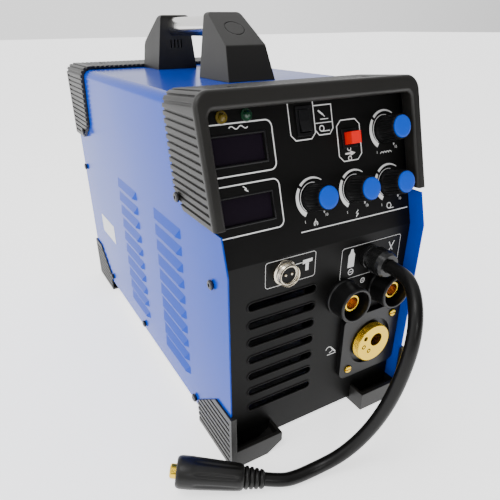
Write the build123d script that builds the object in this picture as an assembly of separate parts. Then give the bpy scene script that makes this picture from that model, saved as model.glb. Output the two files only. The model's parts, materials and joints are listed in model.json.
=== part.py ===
from build123d import *
import os
from math import atan, cos, degrees, pi, radians, sin, tan

# Wire-feed (MIG) welding machine, millimetres.
# While it is drawn, y = 0 is the front edge of the sheet shell, z = 0 the floor under the feet and x = 0 the
# middle.  save() then moves every piece so that the origin is the bottom centre of the machine.

# ---- driving dimensions ---------------------------------------------------------------------------------
SHELL_W = 205.0          # outside width of the sheet shell
SHELL_D = 452.0          # depth of the shell, front edge to rear edge
SHELL_BOTTOM = 16.5      # lower edge of the shell's sides
SHELL_TOP = 316.0        # top of the shell
SHEET = 1.2              # shell sheet thickness
SHELL_R = 9.0            # outside radius of the shell's top edges
BEND_Z = 198.0           # height where the front edge starts to lean back
LEAN = 0.30              # backward lean of the upper front, run per rise
ORIGIN_Y = 226.0         # distance of the origin behind the shell's front edge

PANEL_Y = 15.0           # front face of the lower panel, behind the shell's edge
PANEL_T = 2.0
PANEL_BOTTOM = 4.6
PANEL_HALF = SHELL_W / 2 - SHEET - 0.3
CREASE_Z = 195.5         # crease between the upright and the leaning panel
PANEL_SLOPE = 118.0      # length of the leaning panel

HOOD_HALF = 107.0        # half width over the ribbed hoods
HOOD_TOP = 324.0
RIM_Y = 9.0              # rim face at its foot
RIM_Z = 231.3
RIM_DEEP = 13.0
RIM_LAND = 4.5           # smooth strip between the rim and the grooves
RIM_SIDE = 10.0          # width of the rim's side faces
RIM_OVER = 14.0          # width of the rim's top face
GROOVE = 2.2
GROOVE_DEEP = 1.4
GROOVE_PITCH = 5.8

FOOT_HALF = 104.4
FOOT_FRONT = -4.0
FOOT_H = 61.0
FOOT_DEEP = 72.0
FOOT_LIP = 20.0
FOOT_INNER = 50.0        # inner end of each foot, from the middle
FOOT_WALL = 1.6

TUBE_R = 9.5
TUBE_Z = 362.0
TUBE_HALF = 67.0         # half length of the tube
POST_TOP = 374.0
POST_BASE = 25.0         # half width of each post on the shell
POST_TIP = 17.5
HANDLE_Y = 258.0         # middle of the handle

LEAN_ANGLE = atan(LEAN)
UPPER = Plane(origin=(0, PANEL_Y, CREASE_Z), x_dir=(1, 0, 0), z_dir=(0, -cos(LEAN_ANGLE), sin(LEAN_ANGLE)))
LOWER = Plane(origin=(0, PANEL_Y, 0), x_dir=(1, 0, 0), z_dir=(0, -1, 0))

# places on the leaning panel: (x, distance up the slope)
KNOBS = {"burnback": (-7.0, 42.0), "voltage": (38.0, 42.0), "wire_speed": (78.0, 41.5),
         "inductance": (77.5, 88.0)}
KNOB_R = 11.0
KNOB_H = 20.5
KNOB_GAP = 0.8
CAP_R = 9.2
CAP_T = 1.6
SHAFT_R = 3.0
LEDS = {"yellow": (-80.0, 112.5), "green": (-59.0, 112.5)}
WINDOW_X = -68.5
WINDOWS = (88.3, 43.2)
WINDOW_W = 45.0
WINDOW_H = 20.5
ROCKER_AT = (-7.8, 103.0)
ROCKER_W = 15.0
ROCKER_H = 23.0
BUTTON_AT = (37.0, 85.0)
BUTTON_W = 10.0
BUTTON_H = 10.0
BUTTON_OUT = 9.5
BUTTON_TRAVEL = 2.5

# places on the upright panel: (x, z)
TRIGGER_AT = (-42.0, 181.5)
TRIGGER_R = 9.5
TRIGGER_OUT = 8.5
SLOT_X = -41.5
SLOT_W = 70.0
SLOT_H = 8.0
SLOT_Z = 156.5
SLOT_PITCH = 18.2
SLOTS = 7
GLAND_AT = (52.5, 173.5)
GLAND_OUT = 26.0
SOCKETS = ((24.0, 138.5), (73.0, 138.5))
SOCKET_R = 17.0
SOCKET_OUT = 22.0
CUP_R = 14.3             # deep cup inside each current socket
CUP_FLOOR = 7.0
CONTACT_R = 8.8
CONTACT_BORE = 6.4
EURO_AT = (64.0, 76.7)
EURO_R = 21.0
EURO_HOLE_R = 26.0
EURO_PLATE = 73.0
EURO_PLATE_T = 5.5
EURO_OUT = 11.0
EURO_SCREWS = ((90.0, 102.7), (38.0, 50.7))

# polarity cable: its route from the gland to its plug on the floor
CABLE_D = 12.0
ROUTE = [(52.5, -11, 173.5), (52.5, -28, 173.5), (47, -44, 169), (36, -60, 157), (28, -68.5, 137),
         (20.5, -70.5, 111.5), (13.5, -69, 84.5), (5.5, -64, 57.5), (-6, -58, 35), (-21, -51.5, 17.5),
         (-40.5, -45.5, 8.2), (-62, -43.2, 6.4), (-75.5, -40.4, 7.8), (-88.5, -33, 9.8)]
PLUG_LEN = 77.0
PLUG_R = 13.9
PLUG_TAIL_R = 8.2
PIN_R = 6.3
PIN_OUT = 5.6

# wire compartment
DIVIDER_X = 20.0
SPOOL_AT = (266.0, 165.0)
SPOOL_R = 98.0
SPOOL_X = (28.0, 82.0)
SPINDLE_R = 25.0
ROLL_X = (58.0, 71.0)
ROLL_R = 15.5
ROLL_Y = 118.0
ROLL_GAP = 0.5
ARM_PIVOT = (150.0, 104.0)

# right side door
DOOR = (100.0, 367.0, 46.0, 300.0)      # y and z limits of the opening
DOOR_PIN = (104.8, 372.5)               # hinge line, x and y
KNUCKLE_R = 2.0
HINGE_Z = (90.0, 220.0)
LATCH_Z = (100.0, 245.0)
LATCH_Y = 111.0

# rear panel
REAR_Y = 438.0
FAN_AT = (-41.0, 150.0)
FAN_SIZE = 110.0
FAN_T = 25.0
SWITCH_AT = (62.0, 205.0)
GAS_AT = (62.0, 62.0)
MAINS_AT = (-60.0, 62.0)


# ---- small helpers --------------------------------------------------------------------------------------
def block(x, y, z):
    """Box between pairs of limits."""
    size = (x[1] - x[0], y[1] - y[0], z[1] - z[0])
    return Pos((x[0] + x[1]) / 2, (y[0] + y[1]) / 2, (z[0] + z[1]) / 2) * Box(*size)


def rod(axis, at, span, radius):
    """Cylinder along axis 'x' or 'y'; at holds its other two coordinates in order."""
    body = Pos(0, 0, span[0]) * Cylinder(radius, span[1] - span[0],
                                         align=(Align.CENTER, Align.CENTER, Align.MIN))
    if axis == "x":
        return Pos(0, at[0], at[1]) * Rot(0, 90, 0) * body
    return Pos(at[0], 0, at[1]) * Rot(-90, 0, 0) * body


def side_prism(points, x):
    """Outline of (y, z) points, drawn out between two x limits."""
    face = Plane.YZ * make_face(Polyline(*points, close=True))
    return Pos(x[0], 0, 0) * extrude(face, x[1] - x[0])


def disc(plane, at, radius, low, high):
    """Round disc standing on a panel plane between two heights over it."""
    return plane * Pos(at[0], at[1], low) * Cylinder(radius, high - low,
                                                     align=(Align.CENTER, Align.CENTER, Align.MIN))


def slab(plane, at, size, low, high):
    """Rectangular block on a panel plane between two heights over it."""
    return plane * Pos(at[0], at[1], (low + high) / 2) * Box(size[0], size[1], high - low)


def turned(profile):
    """Solid of revolution about Z from (radius, height) points."""
    return revolve(Plane.XZ * make_face(Polyline(*profile, close=True)), Axis.Z)


def join(shapes):
    """Fuse a list of shapes into one."""
    first, *rest = shapes
    return first.fuse(*rest) if rest else first


def edges_along_y(part, radius, low_z):
    """Round the long top edges of a body."""
    picked = [e for e in part.edges().filter_by(Axis.Y) if e.center().Z > low_z]
    return fillet(picked, radius)


def save(name, shape):
    placed = Pos(0, -ORIGIN_Y, 0) * shape
    placed.label = name
    export_step(placed, f"parts/{name}.step")


# ---- screws of the case ---------------------------------------------------------------------------------
SIDE_SCREWS = [(26.3, 181.0), (442.0, 181.0), (233.0, 24.3), (78.0, 22.5), (377.0, 27.0)]
HOOD_SCREWS = [(74.0, 240.5), (399.0, 238.5)]
TOP_SCREWS = [(-65.0, 57.0), (65.0, 57.0), (-65.0, 420.0), (65.0, 420.0)]


def side_screw(side, y, z, face):
    head = turned([(0, -0.2), (3.0, -0.2), (4.3, 0.9), (4.3, 2.2), (3.2, 3.0), (1.6, 3.0), (1.6, 1.6),
                   (0, 1.6)])
    shank = Pos(0, 0, -7.2) * Cylinder(1.9, 7.1, align=(Align.CENTER, Align.CENTER, Align.MIN))
    turn = Rot(0, 90 * side, 0)
    return Pos(side * (face + 0.25), y, z) * turn * (head + shank)


def top_screw(x, y):
    """Screw through the top of a hood, its head sunk on the shell."""
    head = turned([(0, 0.05), (3.8, 0.05), (3.8, 1.4), (2.9, 2.2), (1.4, 2.2), (1.4, 1.0), (0, 1.0)])
    shank = Pos(0, 0, -7) * Cylinder(1.9, 7.1, align=(Align.CENTER, Align.CENTER, Align.MIN))
    return Pos(x, y, SHELL_TOP) * (head + shank)


def case_screws():
    screws = []
    for side in (-1, 1):
        screws += [side_screw(side, y, z, SHELL_W / 2) for y, z in SIDE_SCREWS]
        screws += [side_screw(side, y, z, HOOD_HALF) for y, z in HOOD_SCREWS]
    screws += [top_screw(x, y) for x, y in TOP_SCREWS]
    return Compound(screws)


def screw_bores():
    """Clearance holes for every screw through a side wall."""
    spots = SIDE_SCREWS + HOOD_SCREWS
    bores = []
    for y, z in spots:
        for span in ((-108, -92), (92, 108)):
            bores.append(rod("x", (y, z), span, 2.1))
    for x, y in TOP_SCREWS:
        bores.append(Pos(x, y, SHELL_TOP) * Cylinder(2.1, 5))
    return bores


# ---- sheet shell ----------------------------------------------------------------------------------------
def shell_outline(inset, front_back):
    """Side outline of the shell; the part under the front hood steps back by front_back."""
    step = RIM_Z - 4
    top = SHELL_TOP - inset
    return [(0, SHELL_BOTTOM), (0, BEND_Z), (LEAN * (step - BEND_Z), step),
            (LEAN * (step - BEND_Z) + front_back, step),
            (LEAN * (top - BEND_Z) + front_back, top), (REAR_Y + PANEL_T, top), (REAR_Y + PANEL_T, step),
            (SHELL_D, step), (SHELL_D, SHELL_BOTTOM)]


def louvre_body(length, out, height):
    """Wedge that swells outward and downward, with rounded slanting ends; its top edge is at z = 0."""
    skin = -SHELL_W / 2 + 0.3
    plan = make_face(Polyline((skin, -length / 2), (skin, length / 2), (skin - out, length / 2 - 9),
                              (skin - out, -length / 2 + 9), close=True))
    plan = fillet([v for v in plan.vertices() if v.X < skin - 1], 4.0)
    profile = make_face(Polyline((skin, 0), (skin - out, -height), (skin, -height), close=True))
    profile = fillet([v for v in profile.vertices() if v.X < skin - 1], 0.9)
    blank = Pos(0, 0, -height) * extrude(plan, height)
    return blank & extrude(Plane.XZ * profile, length, both=True)


def louvre():
    """Pressed louvre of the left side, hollow and open below."""
    body = louvre_body(LOUVRE_LENGTH, LOUVRE_OUT, LOUVRE_H)
    hollow = louvre_body(LOUVRE_LENGTH - 4, LOUVRE_OUT - 0.8, LOUVRE_H)
    return body - Pos(0, 0, -1.8) * hollow


LOUVRE_COLUMNS = ((120.0, 202.0), (240.0, 202.0))      # middle y and top z of each column
LOUVRE_PITCH = 16.7
LOUVRE_LENGTH = 68.0
LOUVRE_OUT = 3.8
LOUVRE_H = 10.5
LOUVRE_ROWS = 10


def case_cover():
    outer = edges_along_y(side_prism(shell_outline(0, RIM_DEEP + 1), (-SHELL_W / 2, SHELL_W / 2)), SHELL_R,
                          300)
    inner_outline = [(-5, 0), (-5, SHELL_TOP - SHEET), (SHELL_D + 5, SHELL_TOP - SHEET), (SHELL_D + 5, 0)]
    inner = side_prism(inner_outline, (-SHELL_W / 2 + SHEET, SHELL_W / 2 - SHEET))
    inner = edges_along_y(inner, SHELL_R - SHEET, 300)
    vents = []
    hoods = []
    for column_y, top_z in LOUVRE_COLUMNS:
        for row in range(LOUVRE_ROWS):
            z = top_z - row * LOUVRE_PITCH
            vents.append(block((-SHELL_W / 2 - 1, -SHELL_W / 2 + SHEET + 1), (column_y - 29, column_y + 29),
                               (z - 5.0, z - 0.5)))
            hoods.append(Pos(0, column_y, z + LOUVRE_H - 5) * louvre())
    opening = block((90, 110), (DOOR[0], DOOR[1]), (DOOR[2], DOOR[3]))
    cover = outer - inner - Compound(vents) - opening - Compound(screw_bores())
    cover = cover.fuse(*hoods)
    lugs = []
    for z in HINGE_Z:
        web = block((SHELL_W / 2 - 0.1, DOOR_PIN[0]), (DOOR_PIN[1] - KNUCKLE_R, DOOR_PIN[1] + KNUCKLE_R),
                    (z - 8, z + 8))
        barrel = Pos(*DOOR_PIN, z) * Cylinder(KNUCKLE_R, 16)
        lugs.append(web.fuse(barrel) - Pos(*DOOR_PIN, z) * Cylinder(1.2, 40))
    return cover.fuse(*lugs)


def side_door():
    y0, y1, z0, z1 = DOOR
    panel = block((SHELL_W / 2 - SHEET, SHELL_W / 2), (y0 + 1, y1 - 1), (z0 + 1, z1 - 1))
    frame = []
    for limits in ((y0 + 1.5, y0 + 3, z0 + 1.5, z1 - 1.5), (y1 - 3, y1 - 1.5, z0 + 1.5, z1 - 1.5),
                   (y0 + 1.5, y1 - 1.5, z0 + 1.5, z0 + 3), (y0 + 1.5, y1 - 1.5, z1 - 3, z1 - 1.5)):
        frame.append(block((SHELL_W / 2 - 2.6, SHELL_W / 2 - 0.6), limits[:2], limits[2:]))
    door = panel.fuse(*frame)
    for z in HINGE_Z:
        for side in (-1, 1):
            span = (z + side * 14 - 5, z + side * 14 + 5)
            pad = block((SHELL_W / 2 - 0.1, SHELL_W / 2 + 1.5), (y1 - 14, y1 - 2), span)
            strap = block((SHELL_W / 2 + 0.35, SHELL_W / 2 + 1.5), (y1 - 3, DOOR_PIN[1]), span)
            barrel = Pos(*DOOR_PIN, z + side * 14) * Cylinder(KNUCKLE_R - 0.05, 10)
            door = door.fuse(pad, strap, barrel)
        door = door.fuse(Pos(*DOOR_PIN, z) * Cylinder(0.9, 36))
    for z in LATCH_Z:
        door = door - rod("x", (LATCH_Y, z), (90, 110), 3.4)
    return door


def latch(z):
    """Quarter-turn latch, drawn released; turned a quarter its tongue lies behind the shell's edge."""
    face = SHELL_W / 2
    cap = rod("x", (LATCH_Y, z), (face + 0.3, face + 2.2), 8.5)
    wing = block((face + 2.0, face + 4.4), (LATCH_Y - 2, LATCH_Y + 2), (z - 7.5, z + 7.5))
    stem = rod("x", (LATCH_Y, z), (face - 6, face + 1), 3.0)
    tongue = block((face - 5.9, face - 3.4), (LATCH_Y - 3, LATCH_Y + 3), (z - 3, z + 15))
    return join([cap, wing, stem, tongue])


def base_tray():
    half = SHELL_W / 2 - SHEET - 0.3
    floor = block((-half, half), (PANEL_Y + PANEL_T + 0.2, REAR_Y - 0.2), (14.0, 15.5))
    tray = floor
    for side in (-1, 1):
        wall = block(sorted((side * (half - 1.5), side * half)), (PANEL_Y + PANEL_T + 0.2, REAR_Y - 0.2),
                     (14.0, 40.0))
        tray = tray + wall
    vents = [block((-80, -20), (150 + 14 * i, 156 + 14 * i), (10, 20)) for i in range(8)]
    return tray - Compound(vents) - Compound(screw_bores())


def divider_plate():
    plate = block((DIVIDER_X, DIVIDER_X + 1.5), (66, REAR_Y - 2), (15.7, 298))
    plate = plate - rod("x", (ROLL_Y, roll_heights()[0]), (0, 40), 26)
    return plate - rod("x", SPOOL_AT, (0, 40), 8.2)


# ---- front panel ----------------------------------------------------------------------------------------
def panel_cutouts():
    cuts = []
    for x, z in SOCKETS:
        cuts.append(disc(LOWER, (x, z), CONTACT_R + 2.0, -4, 1))
    cuts.append(disc(LOWER, TRIGGER_AT, 8.2, -4, 1))
    cuts.append(disc(LOWER, GLAND_AT, 8.2, -4, 1))
    cuts.append(disc(LOWER, EURO_AT, 14.2, -4, 1))
    for x, z in EURO_SCREWS:
        cuts.append(disc(LOWER, (x, z), 2.1, -4, 1))
    for i in range(SLOTS):
        at = (SLOT_X, SLOT_Z - i * SLOT_PITCH)
        cuts.append(slab(LOWER, at, (SLOT_W - SLOT_H, SLOT_H), -4, 1))
        for side in (-1, 1):
            cuts.append(disc(LOWER, (at[0] + side * (SLOT_W - SLOT_H) / 2, at[1]), SLOT_H / 2, -4, 1))
    for at in KNOBS.values():
        cuts.append(disc(UPPER, at, 3.9, -4, 1))
    for at in LEDS.values():
        cuts.append(disc(UPPER, at, 4.05, -4, 1))
    for s in WINDOWS:
        cuts.append(slab(UPPER, (WINDOW_X, s), (WINDOW_W, WINDOW_H), -4, 1))
    cuts.append(slab(UPPER, ROCKER_AT, (ROCKER_W - 2, ROCKER_H - 2), -4, 1))
    cuts.append(slab(UPPER, BUTTON_AT, (BUTTON_W + 3.2, BUTTON_H + 3.2), -4, 1))
    return cuts


def slot_blades():
    """Slanted blades that lie behind the air slots and are fixed above them."""
    blades = []
    back = PANEL_Y + PANEL_T
    for i in range(SLOTS):
        top = SLOT_Z - i * SLOT_PITCH + SLOT_H / 2
        outline = [(back - 0.3, top + 2.4), (back - 0.3, top + 0.3), (back + 7.0, top - SLOT_H - 1.0),
                   (back + 8.4, top - SLOT_H - 1.0)]
        blades.append(side_prism(outline, (SLOT_X - SLOT_W / 2 - 1, SLOT_X + SLOT_W / 2 + 1)))
    return blades


def front_panel():
    run = PANEL_SLOPE * sin(LEAN_ANGLE)
    rise = PANEL_SLOPE * cos(LEAN_ANGLE)
    back = PANEL_T * tan(LEAN_ANGLE / 2)
    outline = [(PANEL_Y, PANEL_BOTTOM), (PANEL_Y, CREASE_Z), (PANEL_Y + run, CREASE_Z + rise),
               (PANEL_Y + run + PANEL_T * cos(LEAN_ANGLE), CREASE_Z + rise - PANEL_T * sin(LEAN_ANGLE)),
               (PANEL_Y + PANEL_T, CREASE_Z - back), (PANEL_Y + PANEL_T, PANEL_BOTTOM)]
    panel = side_prism(outline, (-PANEL_HALF, PANEL_HALF))
    for side in (-1, 1):
        flange = block(sorted((side * (PANEL_HALF - 1.5), side * PANEL_HALF)), (PANEL_Y + 1, PANEL_Y + 22),
                       (45, 190))
        panel = panel + flange
    panel = panel - Compound(panel_cutouts())
    panel = panel.fuse(*slot_blades())
    return panel - Compound(screw_bores())


def rear_panel():
    panel = block((-PANEL_HALF, PANEL_HALF), (REAR_Y, REAR_Y + PANEL_T),
                  (PANEL_BOTTOM, SHELL_TOP - SHEET - 1))
    panel = edges_along_y(panel, SHELL_R, 300)
    for side in (-1, 1):
        flange = block(sorted((side * (PANEL_HALF - 1.5), side * PANEL_HALF)), (REAR_Y + 1, REAR_Y + 13),
                       (60, 220))
        panel = panel + flange
    cuts = []
    for i in range(-4, 5):
        half = (46.0 ** 2 - (i * 10.5) ** 2) ** 0.5
        cuts.append(block((FAN_AT[0] - half, FAN_AT[0] + half), (REAR_Y - 1, REAR_Y + 3),
                          (FAN_AT[1] + i * 10.5 - 3, FAN_AT[1] + i * 10.5 + 3)))
    cuts.append(rod("y", GAS_AT, (REAR_Y - 1, REAR_Y + 4), 6.2))
    cuts.append(rod("y", MAINS_AT, (REAR_Y - 1, REAR_Y + 4), 8.2))
    cuts.append(block((SWITCH_AT[0] - 12, SWITCH_AT[0] + 12), (REAR_Y - 1, REAR_Y + 4),
                      (SWITCH_AT[1] - 17, SWITCH_AT[1] + 17)))
    panel = panel - Compound(cuts)
    return panel - Compound(screw_bores())


# ---- ribbed hoods ---------------------------------------------------------------------------------------
def grooves(y, z_low, z_high, top_z, tilt, corner):
    """Grooves along Y in both side faces, the top face and the rounded corners of a hood."""
    cuts = []
    z = z_low
    while z < z_high:
        for side in (-1, 1):
            cuts.append(block(sorted((side * (HOOD_HALF - GROOVE_DEEP), side * (HOOD_HALF + 2))), y,
                              (z - GROOVE / 2, z + GROOVE / 2)))
        z += GROOVE_PITCH
    count = int(88 / GROOVE_PITCH)
    middle = (y[0] + y[1]) / 2
    for i in range(-count, count + 1):
        x = i * GROOVE_PITCH
        cut = Box(GROOVE, y[1] - y[0] + 20, 6.0)
        cuts.append(Pos(x, middle, top_z + 3.0 - GROOVE_DEEP) * Rot(tilt, 0, 0) * cut)
    for side in (-1, 1):
        for angle in (18, 45, 72):
            middle_of_bend = Pos(side * (HOOD_HALF - corner), middle, top_z - corner) * Rot(tilt, 0, 0)
            cut = Pos(side * (corner + 3.0 - GROOVE_DEEP), 0, 0) * Box(6.0, y[1] - y[0] + 20, GROOVE)
            cuts.append(middle_of_bend * Rot(0, -side * angle, 0) * cut)
    return cuts


def on_rim(edge):
    """Whether an edge lies in the leaning plane of the front hood's rim, above its foot."""
    box = edge.bounding_box()
    middle = edge.position_at(0.5)
    level = abs(middle.Y - RIM_Y - LEAN * (middle.Z - RIM_Z)) < 0.05
    return level and box.max.Z > RIM_Z + 1


def front_hood():
    rim_top = RIM_Y + LEAN * (HOOD_TOP - RIM_Z)
    outline = [(RIM_Y, RIM_Z), (rim_top, HOOD_TOP), (96.5, 320.0), (83.5, 246.0), (66.0, RIM_Z)]
    hood = side_prism(outline, (-HOOD_HALF, HOOD_HALF))
    hood = edges_along_y_any(hood, 13.0, 315)
    top = SHELL_TOP + 0.3
    cavity = [(RIM_Y + RIM_DEEP - 10 * LEAN, RIM_Z - 10), (RIM_Y + RIM_DEEP + LEAN * (top - RIM_Z), top),
              (130, top), (130, RIM_Z - 10)]
    inside = edges_along_y_any(side_prism(cavity, (-102.8, 102.8)), SHELL_R, 310)
    mouth = [(RIM_Y - 20, RIM_Z - 20), (RIM_Y - 20, HOOD_TOP - RIM_OVER), (130, HOOD_TOP - RIM_OVER),
             (130, RIM_Z - 20)]
    opening = side_prism(mouth, (-HOOD_HALF + RIM_SIDE, HOOD_HALF - RIM_SIDE))
    opening = edges_along_y_any(opening, 5.0, 305)
    hood = hood - opening
    hood = fillet([e for e in hood.edges() if on_rim(e)], 3.0)
    hood = hood - inside
    start = RIM_Y + RIM_LAND
    cuts = grooves((start, 130), RIM_Z + 5, HOOD_TOP - 16, 321.7, -degrees(atan(4.0 / 61.0)), 13.0)
    lean_stop = side_prism([(0, 200), (start + LEAN * (200 - RIM_Z), 200),
                            (start + LEAN * (340 - RIM_Z), 340), (0, 340)],
                           (-120, 120))
    hood = hood - (Compound(cuts) - lean_stop)
    for side in (-1, 1):
        hood = hood - Pos(side * 65, 57, 322) * Cylinder(4.4, 14)
    return hood - Compound(screw_bores())


def edges_along_y_any(part, radius, low_z):
    """Round the two long side edges that lie over low_z, level or sloping."""
    picked = []
    for edge in part.edges():
        box = edge.bounding_box()
        if box.min.Z > low_z and box.size.Y > 20 and box.size.X < 0.01:
            picked.append(edge)
    return fillet(picked, radius)


def rear_hood():
    rear = SHELL_D
    outline = [(rear, 230), (rear, 320), (369.5, 320), (380, 249), (385, 244), (408, 230)]
    hood = side_prism(outline, (-HOOD_HALF, HOOD_HALF))
    hood = edges_along_y_any(hood, 12.0, 310)
    stop = REAR_Y + PANEL_T + 0.3
    top = SHELL_TOP + 0.3
    inside = side_prism([(300, 200), (300, top), (stop, top), (stop, 200)], (-102.8, 102.8))
    inside = edges_along_y_any(inside, SHELL_R, 310)
    mouth = edges_along_y_any(side_prism([(300, 200), (300, 310), (480, 310), (480, 200)], (-97, 97)), 5.0,
                              300)
    hood = hood - inside - mouth
    cuts = grooves((340, rear - RIM_LAND), 236.0, 306.0, 320.0, 0, 12.0)
    hood = hood - Compound(cuts)
    for side in (-1, 1):
        hood = hood - Pos(side * 65, 420, 320) * Cylinder(4.4, 14)
    return hood - Compound(screw_bores())


# ---- feet -----------------------------------------------------------------------------------------------
def front_foot(side, chamfered):
    """Foot under a front corner; side is -1 left, 1 right."""
    rear = FOOT_FRONT + FOOT_DEEP
    wall_x = sorted((side * (FOOT_HALF - FOOT_WALL), side * FOOT_HALF))
    wall = side_prism([(FOOT_FRONT, 0), (FOOT_FRONT, FOOT_H), (27, FOOT_H), (rear + 1, 27), (rear, 0)],
                      wall_x)
    cuts = []
    z = 6.5
    while z < FOOT_H - 3:
        cuts.append(block(sorted((side * (FOOT_HALF - 1.0), side * (FOOT_HALF + 1))), (FOOT_FRONT + 4, 80),
                          (z - 1.3, z + 1.3)))
        z += 6.6
    wall = wall - Compound(cuts)
    inner = side * FOOT_INNER
    outer = side * FOOT_HALF
    plate = block(sorted((inner, outer)), (FOOT_FRONT, rear), (0, 3))
    lip = block(sorted((inner, outer)), (FOOT_FRONT, FOOT_FRONT + 3.4), (0, FOOT_LIP))
    end = block(sorted((inner, inner + side * 3)), (FOOT_FRONT, PANEL_Y - 0.3), (0, FOOT_LIP))
    post = block(sorted((outer, side * (FOOT_HALF - 5.3))), (FOOT_FRONT, -0.3), (0, FOOT_H))
    pad = block(sorted((side * FOOT_INNER, side * 99)), (PANEL_Y + PANEL_T + 0.5, rear - 6), (2, 13.8))
    foot = join([wall, plate, lip, end, post, pad])
    if chamfered:
        wedge = Polyline((inner - side * 0.5, -0.5), (inner + side * 16.8, -0.5),
                         (inner - side * 0.5, 10.6), close=True)
        foot = foot - Pos(0, 100, 0) * extrude(Plane.XZ * make_face(wedge), 140)
    return foot - Compound(screw_bores())


def rear_foot(side):
    front = SHELL_D - 67.0
    rear = SHELL_D - FOOT_FRONT
    wall_x = sorted((side * (FOOT_HALF - FOOT_WALL), side * FOOT_HALF))
    wall = side_prism([(rear, 0), (rear, FOOT_H), (SHELL_D - 27, FOOT_H), (front - 1, 27), (front, 0)],
                      wall_x)
    cuts = []
    z = 6.5
    while z < FOOT_H - 3:
        cuts.append(block(sorted((side * (FOOT_HALF - 1.0), side * (FOOT_HALF + 1))), (front - 9, rear - 4),
                          (z - 1.3, z + 1.3)))
        z += 6.6
    wall = wall - Compound(cuts)
    inner = side * FOOT_INNER
    outer = side * FOOT_HALF
    plate = block(sorted((inner, outer)), (front, rear), (0, 3))
    lip = block(sorted((inner, outer)), (rear - 3.4, rear), (0, FOOT_LIP))
    post = block(sorted((outer, side * (FOOT_HALF - 5.3))), (SHELL_D + 0.3, rear), (0, FOOT_H))
    end = block(sorted((inner, inner + side * 3)), (REAR_Y + PANEL_T + 0.3, rear), (0, FOOT_LIP))
    pad = block(sorted((side * 58, side * 96)), (front + 6, REAR_Y - 2), (2, 13.8))
    return join([wall, plate, lip, post, end, pad]) - Compound(screw_bores())


# ---- carrying handle ------------------------------------------------------------------------------------
def tapered(outline):
    """Post whose width narrows evenly from the shell's top to its own top."""
    side = make_face(Polyline(*outline, close=True))
    side = fillet([v for v in side.vertices() if v.Y > SHELL_TOP + 1], 3.0)
    body = Pos(-30, 0, 0) * extrude(Plane.YZ * side, 60)
    front = make_face(Polyline((-POST_BASE, SHELL_TOP), (POST_BASE, SHELL_TOP), (POST_TIP, POST_TOP),
                               (-POST_TIP, POST_TOP), close=True))
    front = fillet([v for v in front.vertices() if v.Y > SHELL_TOP + 1], 4.0)
    return body & (Pos(0, 500, 0) * extrude(Plane.XZ * front, 500))


def handle_post_front():
    post = tapered([(137, SHELL_TOP), (149, 346), (192, POST_TOP), (200, POST_TOP), (200, SHELL_TOP)])
    slope = atan(28 / 43)
    face = Plane(origin=(0, 170.5, 360.0), x_dir=(1, 0, 0), z_dir=(0, -sin(slope), cos(slope)))
    post = post - (disc(face, (0, 0), 10.2, -0.7, 5) - disc(face, (0, 0), 9.2, -1, 6))
    return post - rod("y", (0, TUBE_Z), (HANDLE_Y - TUBE_HALF - 0.2, 210), TUBE_R + 0.05)


def handle_post_rear():
    post = handle_post_front().mirror(Plane(origin=(0, HANDLE_Y, 0), z_dir=(0, 1, 0)))
    for i in range(4):
        post = post - block((-7.5 + 4.4 * i, -5.7 + 4.4 * i), (312, 322), (339, 348))
    return post - block((-30, 30), (369, 390), (SHELL_TOP - 1, POST_TOP))


def handle_tube():
    half = TUBE_HALF
    tube = rod("y", (0, TUBE_Z), (HANDLE_Y - half, HANDLE_Y + half), TUBE_R)
    return tube - rod("y", (0, TUBE_Z), (180, 340), TUBE_R - 1.5)


# ---- controls -------------------------------------------------------------------------------------------
def knob(at):
    """Fluted black knob with a recess for its cap."""
    body = turned([(SHAFT_R + 0.3, 0), (KNOB_R + 0.6, 0), (KNOB_R + 0.6, 2.2), (KNOB_R, 3.0),
                   (KNOB_R - 0.5, KNOB_H - 1),
                   (CAP_R + 0.05, KNOB_H - 0.4), (CAP_R + 0.05, KNOB_H - CAP_T), (0, KNOB_H - CAP_T),
                   (0, 13.0),
                   (SHAFT_R + 0.3, 13.0)])
    flutes = []
    for i in range(18):
        angle = radians(i * 20)
        flutes.append(Pos((KNOB_R + 0.4) * cos(angle), (KNOB_R + 0.4) * sin(angle), 3.4) * Cylinder(
            1.2, KNOB_H, align=(Align.CENTER, Align.CENTER, Align.MIN)))
    body = body - Compound(flutes)
    return UPPER * Pos(at[0], at[1], KNOB_GAP) * body


def knob_cap(at):
    cap = Cylinder(CAP_R, CAP_T, align=(Align.CENTER, Align.CENTER, Align.MIN))
    cap = fillet(cap.edges().sort_by(Axis.Z)[-1], 0.7)
    return UPPER * Pos(at[0], at[1], KNOB_GAP + KNOB_H - CAP_T) * cap


def potentiometers():
    pots = []
    for at in KNOBS.values():
        can = disc(UPPER, at, 8.0, -13.8, -2.2)
        bush = disc(UPPER, at, 3.7, -2.3, 0.4)
        shaft = disc(UPPER, at, SHAFT_R, 0.3, 12.5)
        pots.append(join([can, bush, shaft]))
    return Compound(pots)


def rocker_housing():
    bezel = slab(UPPER, ROCKER_AT, (ROCKER_W, ROCKER_H), 0.05, 1.6)
    case = slab(UPPER, ROCKER_AT, (ROCKER_W - 2.4, ROCKER_H - 2.4), -13.5, 0.1)
    window = slab(UPPER, ROCKER_AT, (ROCKER_W - 4.4, ROCKER_H - 5.0), -7.5, 3)
    return bezel + case - window


def rocker():
    """Rocker plate, tilted so that its upper end is pressed in."""
    half = (ROCKER_H - 6.4) / 2
    outline = Polyline((-half, 0.2), (-half, 2.9), (0, 1.9), (half, 2.9), (half, 0.2), (3, -3.4),
                       (-3, -3.4), close=True)
    face = Plane(origin=(0, 0, 0), x_dir=(0, 1, 0), z_dir=(1, 0, 0)) * make_face(outline)
    body = extrude(face, (ROCKER_W - 5.2) / 2, both=True)
    return UPPER * Pos(ROCKER_AT[0], ROCKER_AT[1], 0.4) * Rot(-7, 0, 0) * body


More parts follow.
